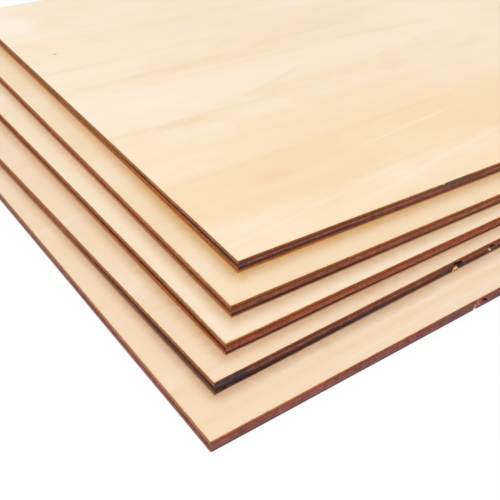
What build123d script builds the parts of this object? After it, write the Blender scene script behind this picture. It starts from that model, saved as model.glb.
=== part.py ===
from build123d import *
from dataclasses import dataclass
from math import atan, degrees
import os

# A fanned stack of thin three-ply plywood sheets with laser-cut edges, in millimetres.
# The origin is the centre of the bottom sheet's underside. +X runs along that sheet's length, which is
# the way its face grain runs, +Y runs across its width and +Z is up.


@dataclass
class Lay:
    """How a sheet lies on the one below it."""

    step_x: float  # setback of its near corner along the bottom sheet's length
    step_y: float  # setback of its near corner across the bottom sheet's width
    turn: float  # degrees from the bottom sheet, about its own near corner


@dataclass
class EdgeBreak:
    """A place on a sheet's long near edge where wood is missing."""

    sheet: int  # counted from the bottom
    along: float  # from the near corner to the middle of the break
    width: float  # of its mouth
    height: float  # of its mouth, from the underside of its ply
    depth: float  # inwards from the edge


# One sheet
sheet_length = 300.0
sheet_width = 200.0
face_veneer_thickness = 0.9
core_thickness = 1.2
back_veneer_thickness = 0.9
corner_radius = 0.35

# Its burnt edge
edge_lean = 0.08  # how much further in the cut stands at the face than at the underside
core_burn_back = 0.12  # how much further the cut has eaten into the core than into the veneers
face_arris_radius = 0.15
back_arris_bevel = 0.08

# The stack, from the bottom sheet up
lays = [
    Lay(step_x=0.0, step_y=0.0, turn=0.0),
    Lay(step_x=7.25, step_y=9.8, turn=0.8),
    Lay(step_x=6.45, step_y=5.5, turn=-0.45),
    Lay(step_x=5.4, step_y=6.1, turn=-1.65),
    Lay(step_x=7.8, step_y=8.75, turn=-2.35),
]

# Gaps between the strips of the core, which the cut has opened
core_gaps = [
    EdgeBreak(sheet=1, along=75.5, width=1.1, height=core_thickness, depth=1.6),
    EdgeBreak(sheet=2, along=70.6, width=3.0, height=core_thickness, depth=2.6),
    EdgeBreak(sheet=2, along=82.9, width=1.5, height=core_thickness, depth=1.8),
]
gap_lean = 0.9  # how far a gap's foot is shifted along the edge from its head

# Places where the back veneer has torn away
torn_notches = [
    EdgeBreak(sheet=1, along=72.3, width=0.9, height=back_veneer_thickness, depth=0.8),
    EdgeBreak(sheet=2, along=2.4, width=0.9, height=0.3, depth=0.5),
    EdgeBreak(sheet=2, along=69.6, width=2.2, height=back_veneer_thickness, depth=1.3),
    EdgeBreak(sheet=2, along=81.9, width=1.4, height=back_veneer_thickness, depth=0.9),
]
notch_inner_share = 0.4  # size of a notch at its inner end, as a share of its mouth

cutter_overshoot = 1.0  # how far a cutting shape starts outside the edge

sheet_thickness = back_veneer_thickness + core_thickness + face_veneer_thickness
lean_angle = degrees(atan(edge_lean / sheet_thickness))


def edge_inset(height):
    """How far in the cut edge stands at a height above the sheet's underside."""
    return edge_lean * height / sheet_thickness


def ply(thickness, height, burn_back=0.0):
    """One ply with its leaning cut edge, centred on the sheet, its underside at the given height."""
    inset = edge_inset(height) + burn_back
    outline = RectangleRounded(sheet_length - 2 * inset, sheet_width - 2 * inset, corner_radius)
    return extrude(Pos(0, 0, height) * outline, amount=thickness, taper=lean_angle)


def from_near_corner(along, inwards, height):
    """A place on the sheet, measured from its near corner."""
    return Pos(along - sheet_length / 2, inwards - sheet_width / 2, height)


def core_gap_outline(width, depth):
    """A gap seen from above: a ragged wedge that narrows away from the edge."""
    half = width / 2
    return make_face(
        Polyline(
            (-half, -cutter_overshoot),
            (half, -cutter_overshoot),
            (0.8 * half, 0.4 * depth),
            (0.1 * half, depth),
            (-0.6 * half, 0.6 * depth),
            close=True,
        )
    )


def core_gap(gap):
    """The space of one gap, leaning along the edge."""
    outline = core_gap_outline(gap.width, gap.depth)
    foot = from_near_corner(gap.along + gap_lean / 2, 0, back_veneer_thickness)
    head = from_near_corner(gap.along - gap_lean / 2, 0, back_veneer_thickness + gap.height)
    return loft([foot * outline, head * outline])


def notch_outline(width, height):
    """A notch seen from the edge: widest at the underside, with a blunt, crooked point above."""
    return make_face(
        Polyline(
            (-0.5 * width, 0),
            (0.5 * width, 0),
            (0.25 * width, 0.7 * height),
            (0, height),
            (-0.15 * width, 0.8 * height),
            close=True,
        )
    )


def torn_notch(notch):
    """The space of one notch, which gets smaller further in."""
    upright = Rot(90, 0, 0)
    mouth = upright * notch_outline(notch.width, notch.height)
    inner_width = notch_inner_share * notch.width
    inner_height = notch_inner_share * notch.height
    inner_end = upright * notch_outline(inner_width, inner_height)
    outside = from_near_corner(notch.along, -cutter_overshoot, 0)
    inside = from_near_corner(notch.along, notch.depth, 0)
    return loft([outside * mouth, inside * inner_end])


def face_veneer():
    """The top ply, with its upper arris rounded by the heat."""
    blank = ply(face_veneer_thickness, back_veneer_thickness + core_thickness)
    upper_arris = blank.faces().sort_by(Axis.Z)[-1].edges()
    return fillet(upper_arris, face_arris_radius)


def core(number):
    """The middle ply, burnt back from the edge, with the gaps of the sheet of that number."""
    blank = ply(core_thickness, back_veneer_thickness, core_burn_back)
    for gap in core_gaps:
        if gap.sheet == number:
            blank -= core_gap(gap)
    return blank


def back_veneer(number):
    """The bottom ply, its lower arris bevelled, with the torn places of the sheet of that number."""
    blank = ply(back_veneer_thickness, 0)
    lower_arris = blank.faces().sort_by(Axis.Z)[0].edges()
    blank = chamfer(lower_arris, back_arris_bevel)
    for notch in torn_notches:
        if notch.sheet == number:
            blank -= torn_notch(notch)
    return blank


def sheet(number):
    """The three plies of one sheet by name, centred on the sheet, from the bottom up."""
    return {"back_veneer": back_veneer(number), "core": core(number), "face_veneer": face_veneer()}


def place(number):
    """Where a sheet lies in the stack: its near corner's place, then its turn about that corner."""
    below_and_own = lays[:number]
    corner_x = sum(lay.step_x for lay in below_and_own) - sheet_length / 2
    corner_y = sum(lay.step_y for lay in below_and_own) - sheet_width / 2
    corner = Pos(corner_x, corner_y, (number - 1) * sheet_thickness)
    centre_from_corner = Pos(sheet_length / 2, sheet_width / 2, 0)
    return corner * Rot(0, 0, lays[number - 1].turn) * centre_from_corner


os.makedirs("parts", exist_ok=True)
for number in range(1, len(lays) + 1):
    for name, solid in sheet(number).items():
        export_step(place(number) * solid, f"parts/sheet_{number}_{name}.step")
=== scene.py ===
"""A fanned stack of five thin plywood sheets with laser-cut edges, dressed for rendering.

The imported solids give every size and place. Each ply is built again here with the relief of its burnt
edge, gets a procedural wood finish, and stands in a pale studio in front of a fixed camera.
"""

import logging
import math
import random
from dataclasses import dataclass
from enum import Enum
from typing import Mapping, Optional, Sequence, Union

import bmesh
import bpy
from mathutils import Matrix, Vector, noise


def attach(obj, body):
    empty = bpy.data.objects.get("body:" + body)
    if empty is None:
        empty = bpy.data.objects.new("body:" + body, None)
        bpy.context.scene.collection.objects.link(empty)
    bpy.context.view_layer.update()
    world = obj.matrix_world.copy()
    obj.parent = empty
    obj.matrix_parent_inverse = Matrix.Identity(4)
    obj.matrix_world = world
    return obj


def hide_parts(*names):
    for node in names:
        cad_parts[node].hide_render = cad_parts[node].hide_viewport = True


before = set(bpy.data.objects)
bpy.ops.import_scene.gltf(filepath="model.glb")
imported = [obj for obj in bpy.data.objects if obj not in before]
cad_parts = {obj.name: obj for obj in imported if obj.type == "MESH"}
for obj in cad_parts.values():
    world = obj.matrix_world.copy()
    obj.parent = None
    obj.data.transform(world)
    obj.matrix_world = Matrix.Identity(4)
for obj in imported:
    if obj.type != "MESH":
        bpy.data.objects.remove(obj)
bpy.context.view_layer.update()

Rgb = tuple[float, float, float]
Operand = Union["Value", float]
Feed = Union["Value", float, Sequence[float]]
Stops = Sequence[tuple[float, Rgb]]

MM = 0.001
WHITE = (1.0, 1.0, 1.0)
log = logging.getLogger("plywood")


def srgb(red: int, green: int, blue: int) -> Rgb:
    """Turn a screen colour, each channel from 0 to 255, into the linear colour that shaders take."""
    shares = (channel / 255 for channel in (red, green, blue))
    return tuple(s / 12.92 if s <= 0.04045 else ((s + 0.055) / 1.055) ** 2.4 for s in shares)


def blend(first: Rgb, second: Rgb, share: float) -> Rgb:
    """Mix two colours, where a share of 0 is the first alone and a share of 1 the second."""
    return tuple(a + (b - a) * share for a, b in zip(first, second))


class Value:
    """A socket that gives a number, on which Python's operators add Math nodes."""

    def __init__(self, graph: "Graph", socket: bpy.types.NodeSocket) -> None:
        """Wrap a socket of a graph."""
        self.graph = graph
        self.socket = socket

    def __add__(self, other: Operand) -> "Value":
        """The sum."""
        return self.graph.maths("ADD", self, other)

    def __sub__(self, other: Operand) -> "Value":
        """The difference."""
        return self.graph.maths("SUBTRACT", self, other)

    def __mul__(self, other: Operand) -> "Value":
        """The product."""
        return self.graph.maths("MULTIPLY", self, other)

    def __truediv__(self, other: Operand) -> "Value":
        """The quotient."""
        return self.graph.maths("DIVIDE", self, other)

    def __pow__(self, other: Operand) -> "Value":
        """The power."""
        return self.graph.maths("POWER", self, other)

    def __radd__(self, other: float) -> "Value":
        """The sum, with a plain number first."""
        return self.graph.maths("ADD", other, self)

    def __rsub__(self, other: float) -> "Value":
        """The difference, with a plain number first."""
        return self.graph.maths("SUBTRACT", other, self)

    def __rmul__(self, other: float) -> "Value":
        """The product, with a plain number first."""
        return self.graph.maths("MULTIPLY", other, self)


class Graph:
    """The node tree of a material or of the world."""

    def __init__(self, tree: bpy.types.NodeTree) -> None:
        """Empty the tree and write into it from here on."""
        self.tree = tree
        self.tree.nodes.clear()

    def feed(self, socket: bpy.types.NodeSocket, given: Feed) -> None:
        """Link a value to an input socket, or set the socket to a number, vector or colour.

        Args:
            socket: The input socket.
            given: What goes into it.
        """
        if isinstance(given, Value):
            self.tree.links.new(given.socket, socket)
        elif socket.type == "RGBA":
            socket.default_value = (*given, 1.0)
        else:
            socket.default_value = given

    def node(
        self,
        kind: str,
        settings: Optional[Mapping[str, object]] = None,
        sockets: Optional[Mapping[Union[str, int], Feed]] = None,
    ) -> bpy.types.Node:
        """Add a node, making its settings before its sockets are fed.

        Args:
            kind: Blender's name for the type of node.
            settings: Attributes such as an operation. The key "stops" fills a colour ramp.
            sockets: What goes into each input, by the input's name or number.

        Returns:
            The new node.
        """
        made = self.tree.nodes.new(kind)
        for name, setting in (settings or {}).items():
            if name == "stops":
                self.fill_ramp(made.color_ramp, setting)
            else:
                setattr(made, name, setting)
        for name, given in (sockets or {}).items():
            self.feed(made.inputs[name], given)
        return made

    def fill_ramp(self, ramp: bpy.types.ColorRamp, stops: Stops) -> None:
        """Give a colour ramp its stops.

        Args:
            ramp: A new ramp, which has two stops.
            stops: Positions from 0 to 1 in rising order, each with its colour.
        """
        while len(ramp.elements) < len(stops):
            ramp.elements.new(1.0)
        for element, (position, colour) in zip(ramp.elements, stops):
            element.position = position
            element.color = (*colour, 1.0)

    def output(self, made: bpy.types.Node, name: Union[str, int] = 0) -> Value:
        """An output of a node as a value."""
        return Value(self, made.outputs[name])

    def maths(self, operation: str, *operands: Operand) -> Value:
        """The result of a Math node, which takes one to three operands."""
        return self.output(self.node("ShaderNodeMath", {"operation": operation}, dict(enumerate(operands))))

    def smaller(self, first: Operand, second: Operand) -> Value:
        """The smaller of two values."""
        return self.maths("MINIMUM", first, second)

    def larger(self, first: Operand, second: Operand) -> Value:
        """The larger of two values."""
        return self.maths("MAXIMUM", first, second)

    def clip(self, value: Value) -> Value:
        """The value, held between 0 and 1."""
        return self.output(self.node("ShaderNodeClamp", None, {"Value": value}))

    def ease(self, value: Value, start: float, end: float) -> Value:
        """Rise smoothly from 0 to 1 as a value goes from start to end, which may be below start.

        Args:
            value: The value that is followed.
            start: Where the result is 0.
            end: Where the result is 1.

        Returns:
            The eased result.
        """
        settings = {"interpolation_type": "SMOOTHSTEP"}
        sockets = {"Value": value, "From Min": start, "From Max": end, "To Min": 0.0, "To Max": 1.0}
        return self.output(self.node("ShaderNodeMapRange", settings, sockets))

    def within(self, value: Value, low: float, high: float, soft: float) -> Value:
        """A mask of where a value lies between two limits, each eased over soft on both sides."""
        return self.ease(value, low - soft, low + soft) * self.ease(value, high + soft, high - soft)

    def ridge(self, value: Value, half_width: float) -> Value:
        """A soft line where a value crosses zero: 1 there, and 0 from half_width on."""
        return self.ease(self.maths("ABSOLUTE", value), half_width, 0.0)

    def vector(self, x: Operand, y: Operand, z: Operand) -> Value:
        """Three numbers as a vector."""
        return self.output(self.node("ShaderNodeCombineXYZ", None, {"X": x, "Y": y, "Z": z}))

    def ramp(self, share: Value, stops: Stops) -> Value:
        """The colour of a ramp at a share."""
        return self.output(self.node("ShaderNodeValToRGB", {"stops": stops}, {"Fac": share}))

    def cloud(self, place: Value, detail: float, roughness: float) -> Value:
        """Smooth noise from -1 to 1, whose waves are about one unit of place long.

        Args:
            place: The point that is looked up.
            detail: How many finer octaves are added.
            roughness: How strong each finer octave is.

        Returns:
            The noise.
        """
        sockets = {"Vector": place, "Scale": 1.0, "Detail": detail, "Roughness": roughness}
        made = self.node("ShaderNodeTexNoise", {"noise_dimensions": "3D"}, sockets)
        return self.output(made) * 2.0 - 1.0

    def mix(self, share: Operand, first: Feed, second: Feed) -> Value:
        """Mix two colours.

        Args:
            share: How much of the second colour there is.
            first: The colour at a share of 0.
            second: The colour at a share of 1.

        Returns:
            The mixed colour.
        """
        share_input, first_input, second_input, colour_output = 0, 6, 7, 2
        sockets = {share_input: share, first_input: first, second_input: second}
        made = self.node("ShaderNodeMix", {"data_type": "RGBA"}, sockets)
        return self.output(made, colour_output)

    def dim(self, colour: Feed, brightness: Value) -> Value:
        """A colour made brighter or darker."""
        made = self.node("ShaderNodeVectorMath", {"operation": "SCALE"}, {0: colour, "Scale": brightness})
        return self.output(made)

    def surface(self, colour: Value, roughness: Value, relief: Value, specular: float) -> None:
        """Give the material its surface.

        Args:
            colour: Its colour.
            roughness: Its roughness.
            relief: The height of its fine relief, in millimetres.
            specular: How strongly it reflects, where 0.5 is the shader's own level.
        """
        bump = self.node("ShaderNodeBump", None, {"Strength": 1.0, "Distance": MM, "Height": relief})
        sockets = {
            "Base Color": colour,
            "Roughness": roughness,
            "Specular IOR Level": specular,
            "Normal": self.output(bump),
        }
        shader = self.node("ShaderNodeBsdfPrincipled", None, sockets)
        self.node("ShaderNodeOutputMaterial", None, {"Surface": self.output(shader)})


def new_material(name: str) -> tuple[bpy.types.Material, Graph]:
    """Make a material.

    Args:
        name: Its name.

    Returns:
        The material, and its empty node tree to write into.
    """
    made = bpy.data.materials.new(name)
    made.use_nodes = True
    return made, Graph(made.node_tree)


def add_object(bm: bmesh.types.BMesh, name: str, material: bpy.types.Material) -> bpy.types.Object:
    """Turn a bmesh into an object of the scene.

    Args:
        bm: The bmesh, which is used up.
        name: The object's name.
        material: Its only material.

    Returns:
        The object.
    """
    mesh = bpy.data.meshes.new(name)
    bm.to_mesh(mesh)
    bm.free()
    mesh.materials.append(material)
    made = bpy.data.objects.new(name, mesh)
    bpy.context.scene.collection.objects.link(made)
    return made


@dataclass(frozen=True)
class Waves:
    """A pattern of smooth noise. Its waves' lengths are in millimetres, and without up it is the same
    at every height. Detail and roughness are for shaders alone, and seed tells it from other patterns.
    """

    along: float
    across: float
    up: Optional[float] = None
    detail: float = 2.0
    roughness: float = 0.5
    seed: float = 0.0


class PlyKind(Enum):
    """The three plies of a sheet, by the names of their solids."""

    BACK = "back_veneer"
    CORE = "core"
    FACE = "face_veneer"


@dataclass(frozen=True)
class SheetSize:
    """One sheet, in millimetres, as its solids have it."""

    length: float = 300.0
    width: float = 200.0
    veneer: float = 0.9
    core: float = 1.2
    corner_radius: float = 0.35
    edge_lean: float = 0.08
    core_burn_back: float = 0.12
    face_arris_radius: float = 0.15
    back_arris_bevel: float = 0.08

    @property
    def thickness(self) -> float:
        """The whole sheet's thickness."""
        return 2 * self.veneer + self.core

    def span(self, kind: PlyKind) -> tuple[float, float]:
        """Look up how high a ply lies in the sheet.

        Args:
            kind: Which ply it is.

        Returns:
            The heights of its underside and its top above the sheet's underside.
        """
        return {
            PlyKind.BACK: (0.0, self.veneer),
            PlyKind.CORE: (self.veneer, self.veneer + self.core),
            PlyKind.FACE: (self.veneer + self.core, self.thickness),
        }[kind]


SIZE = SheetSize()


@dataclass(frozen=True)
class Lay:
    """Where a sheet lies: its near corner in the part's frame, in millimetres, and its turn in degrees."""

    corner_x: float
    corner_y: float
    base: float
    turn: float

    @property
    def matrix(self) -> Matrix:
        """The step from the sheet's own millimetres to the part's frame in metres."""
        moved = Matrix.Translation(Vector((self.corner_x, self.corner_y, self.base)) * MM)
        return moved @ Matrix.Rotation(math.radians(self.turn), 4, "Z") @ Matrix.Scale(MM, 4)


def lays_of_stack() -> list[Lay]:
    """Place the five sheets, from the bottom one up.

    Returns:
        Where each sheet lies.
    """
    steps = ((0.0, 0.0), (7.25, 9.8), (6.45, 5.5), (5.4, 6.1), (7.8, 8.75))
    turns = (0.0, 0.8, -0.45, -1.65, -2.35)
    lays = []
    x, y = -SIZE.length / 2, -SIZE.width / 2
    for index, ((step_x, step_y), turn) in enumerate(zip(steps, turns)):
        x += step_x
        y += step_y
        lays.append(Lay(x, y, index * SIZE.thickness, turn))
    return lays


@dataclass(frozen=True)
class Break:
    """A flaw in the long near edge: a gap between core strips, or a place where back veneer is torn off."""

    along: float
    width: float
    height: float
    depth: float


CORE_GAPS = {
    1: (Break(75.5, 1.1, 1.2, 1.6),),
    2: (Break(70.6, 3.0, 1.2, 2.6), Break(82.9, 1.5, 1.2, 1.8)),
}
TORN_NOTCHES = {
    1: (Break(72.3, 0.9, 0.9, 0.8),),
    2: (Break(2.4, 0.9, 0.3, 0.5), Break(69.6, 2.2, 0.9, 1.3), Break(81.9, 1.4, 0.9, 0.9)),
}
GAP_LEAN = 0.9


@dataclass(frozen=True)
class Splinter:
    """A thick splinter that hangs out of a notch. Its ends are along, inwards and up from the near corner."""

    root: tuple[float, float, float]
    tip: tuple[float, float, float]
    root_radius: float
    tip_radius: float


HANGING_SPLINTERS = {
    2: (
        Splinter((69.95, 0.3, 0.6), (69.1, -0.5, 0.12), 0.34, 0.1),
        Splinter((69.7, 0.25, 0.6), (68.1, -0.4, 0.14), 0.28, 0.12),
        Splinter((69.8, 0.2, 0.5), (70.5, -0.4, 0.14), 0.24, 0.12),
        Splinter((81.75, 0.05, 1.0), (82.6, -0.08, 0.14), 0.19, 0.1),
    ),
}


class Side(Enum):
    """The two pairs of sides of a sheet."""

    LONG = "long"
    SHORT = "short"


SOOT = srgb(44, 30, 34)
BLUE_SOOT = srgb(44, 44, 64)
SMOKE = srgb(146, 92, 92)
RED_CHAR = srgb(160, 58, 30)
# Painted bounce light from the sheet below, on the foot of a sheet's edge
PAINTED_FOOT_BOUNCE = srgb(198, 118, 46)
OLIVE_CHAR = srgb(104, 84, 56)
OCHRE_CHAR = srgb(176, 116, 60)
FADED_CHAR = srgb(168, 110, 66)
PALE_FOOT = srgb(212, 162, 116)
# Painted shade for the dark inside of a hole
PAINTED_HOLE_SHADE = srgb(44, 40, 32)
TORN_WOOD = srgb(250, 222, 182)
TORN_PINK = srgb(236, 196, 176)
SINGED_WOOD = srgb(212, 158, 88)
GREY_SMOKE = srgb(112, 80, 72)
PALE_RIM = srgb(248, 208, 164)
RUSSET_CHAR = srgb(98, 36, 8)
RUDDY_CHAR = srgb(126, 58, 26)
RUDDY_ARRIS = srgb(206, 128, 96)
BROWN_CORE = srgb(172, 112, 86)
GOLDEN_CHAR = srgb(196, 122, 62)
GREY_OLIVE = srgb(96, 79, 62)
ASHY_CORE = srgb(146, 118, 110)
GREEN_SOOT = srgb(88, 84, 80)
VIOLET_SMOKE = srgb(122, 70, 92)

RUST_SHARES = {"arris": 1.0, "face": 1.0, "line": 1.0, "core": 1.0, "low_core": 0.3}
CHAR_SHARES = dict.fromkeys(("arris", "face", "line", "core", "low_core", "band", "back", "foot"), 1.0)
HAZE_SHARES = {"line": 0.1, "core": 1.0, "low_core": 1.0, "band": 0.5, "back": 1.0}


@dataclass(frozen=True)
class CutTones:
    """The colours of a cut edge from the face down."""

    rim: Rgb
    arris: Rgb
    face: Rgb
    line: Rgb
    core: Rgb
    low_core: Rgb
    # band and foot near the underside: char, darkened further by painted contact shadow
    band: Rgb
    back: Rgb
    foot: Rgb

    def changed(self, char: float, haze: float, rust: float) -> "CutTones":
        """The same cut, rusty, burnt deeper or hazed with violet smoke.

        Args:
            char: How far the tones go towards soot.
            haze: How far the lower tones go towards smoke.
            rust: How far the upper tones go towards red.

        Returns:
            The changed tones.
        """
        tones = {name: getattr(self, name) for name in self.__dataclass_fields__}
        for agent, strength, shares in (
            (RED_CHAR, rust, RUST_SHARES),
            (SOOT, char, CHAR_SHARES),
            (SMOKE, haze, HAZE_SHARES),
        ):
            for name, share in shares.items():
                tones[name] = blend(tones[name], agent, strength * share)
        return CutTones(**tones)

    def stops(self, band_low: float, band_high: float) -> Stops:
        """A colour ramp over the sheet's thickness.

        Args:
            band_low: Height of the dark band's lower side.
            band_high: Height of the dark band's upper side.

        Returns:
            The ramp's stops.
        """
        lowest_band_over_back = 0.5
        highest_band_under_core = 1.36
        if band_low > lowest_band_over_back:
            heights = [(0.0, self.foot), (0.16, self.foot), (0.3, self.back), (band_low - 0.12, self.back)]
        else:
            heights = [(0.0, self.foot), (max(band_low - 0.14, 0.02), self.foot)]
        # The dark band: char with painted contact shadow
        heights += [(band_low, self.band), (band_high, self.band)]
        if band_high < highest_band_under_core:
            heights += [(band_high + 0.2, self.low_core), (1.6, self.core)]
        heights += [
            (1.84, self.line),
            (2.14, self.line),
            (2.3, self.face),
            (2.5, self.face),
            (2.64, self.arris),
            (2.78, self.arris),
            (2.9, self.rim),
        ]
        return [(height / SIZE.thickness, colour) for height, colour in heights]


# The band and foot tones hold painted contact shadow as well as char
LONG_CUT = CutTones(
    rim=srgb(234, 172, 116),
    arris=srgb(172, 102, 60),
    face=srgb(154, 82, 46),
    line=srgb(110, 50, 30),
    core=srgb(160, 100, 74),
    low_core=srgb(160, 106, 84),
    band=srgb(80, 32, 14),
    back=srgb(120, 60, 34),
    foot=srgb(92, 38, 16),
)
SHORT_CUT = CutTones(
    rim=srgb(234, 184, 130),
    arris=srgb(182, 120, 70),
    face=srgb(194, 130, 76),
    line=srgb(182, 118, 72),
    core=srgb(158, 96, 58),
    low_core=srgb(134, 74, 44),
    band=srgb(106, 44, 20),
    back=srgb(180, 116, 64),
    foot=srgb(164, 104, 54),
)


@dataclass(frozen=True)
class CutPatch:
    """A stretch of an edge that is burnt differently or carries painted shade or bounce light, from the near
    corner along one side, in millimetres.
    """

    side: Side
    start: float
    end: float
    low: float
    high: float
    tone: Rgb
    strength: float


@dataclass(frozen=True)
class CutMark:
    """A short mark that leans across the long near edge, such as bared wood at a notch or painted shade in a
    hole, in millimetres.
    """

    head: float
    foot: float
    half_width: float
    low: float
    high: float
    tone: Rgb
    strength: float


@dataclass(frozen=True)
class CutLook:
    """How one sheet's edge was burnt, with the shade and bounce light that are painted on it."""

    char: float = 0.0
    haze: float = 0.0
    rust: float = 0.0
    short_haze: float = 0.0
    short_fade: float = 0.2
    corner_dip: float = 0.0
    # band and short_band place the dark band low on the edge: char with painted contact shadow
    band: tuple[float, float] = (0.25, 0.75)
    short_band: tuple[float, float] = (1.0, 1.5)
    patches: tuple[CutPatch, ...] = ()
    marks: tuple[CutMark, ...] = ()


@dataclass(frozen=True)
class Flame:
    """A pale tongue in the veneer's figure that narrows along the grain, in millimetres on the sheet."""

    root: float
    tip: float
    tip_across: float
    low: float
    high: float
    low_curve: float
    high_curve: float
    strength: float


@dataclass(frozen=True)
class Streak:
    """A thin line in the veneer's figure. A strength above 0 is pale, and below 0 dark."""

    start: tuple[float, float]
    end: tuple[float, float]
    half_width: float
    strength: float


@dataclass(frozen=True)
class Band:
    """A broad honey-coloured band along the grain, with its sides' places at two ends of the sheet."""

    low_start: float
    low_end: float
    high_start: float
    high_end: float
    strength: float


@dataclass(frozen=True)
class Cloudlet:
    """A soft spot of another wood tone, in millimetres on the sheet."""

    along: float
    across: float
    half_length: float
    half_width: float
    tone: Rgb
    strength: float


@dataclass(frozen=True)
class Figure:
    """The named features in one sheet's veneer, over the figure that every sheet has."""

    warmth: float
    rosiness: float = 0.0
    dimness: float = 0.0
    # warmer_along, paler_beyond and warmer_near are broad trends, partly painted sheen
    warmer_along: float = 0.0
    paler_beyond: float = 0.0
    warmer_near: float = 0.0
    bands: tuple[Band, ...] = ()
    flames: tuple[Flame, ...] = ()
    streaks: tuple[Streak, ...] = ()
    cloudlets: tuple[Cloudlet, ...] = ()
    marks: tuple[tuple[float, float], ...] = ()


@dataclass(frozen=True)
class PaintedFootShade:
    """Painted warm contact shade, and a painted shadow line with some soot, along the foot of the sheet above.
    """

    long_tone: Rgb
    short_tone: Rgb
    long_soot_and_shadow_tone: Rgb
    short_soot_and_shadow_tone: Rgb
    long_reach: float
    short_reach: float
    long_soot_and_shadow: float
    short_soot_and_shadow: float
    soot_and_shadow_fade: float = 0.25
    strength: float = 0.94


@dataclass(frozen=True)
class SheetLook:
    """Everything that tells one sheet's finish from another's."""

    seed: float
    cut: CutLook
    figure: Figure
    foot_shade: PaintedFootShade


@dataclass(frozen=True)
class WoodTones:
    """The colours of the pale veneer."""

    pale: Rgb = srgb(252, 235, 210)
    honey: Rgb = srgb(245, 214, 173)
    deep_honey: Rgb = srgb(244, 208, 158)
    cool: Rgb = srgb(252, 240, 222)
    streak_pale: Rgb = srgb(253, 240, 221)
    streak_dark: Rgb = srgb(238, 208, 168)
    rose: Rgb = srgb(250, 223, 195)
    olive: Rgb = srgb(241, 220, 184)
    umber: Rgb = srgb(234, 202, 162)
    scorch: Rgb = srgb(206, 152, 98)
    mark: Rgb = srgb(112, 88, 66)


WOOD = WoodTones()
# Painted contact shade beside the foot of the sheet above, warmed by light reflected from its burnt edge, and
# the painted shadow line, with some soot, right at that foot
GOLDEN_FOOT_SHADE = srgb(212, 166, 103)
AMBER_FOOT_SHADE = srgb(208, 165, 117)
SAND_FOOT_SHADE = srgb(214, 176, 135)
TAN_FOOT_SHADE = srgb(212, 172, 130)
ROSY_FOOT_SHADE = srgb(208, 169, 132)
GOLDEN_SOOT_AND_SHADOW = srgb(158, 80, 16)
BROWN_SOOT_AND_SHADOW = srgb(94, 46, 24)
RUSSET_SOOT_AND_SHADOW = srgb(104, 42, 12)

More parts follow.
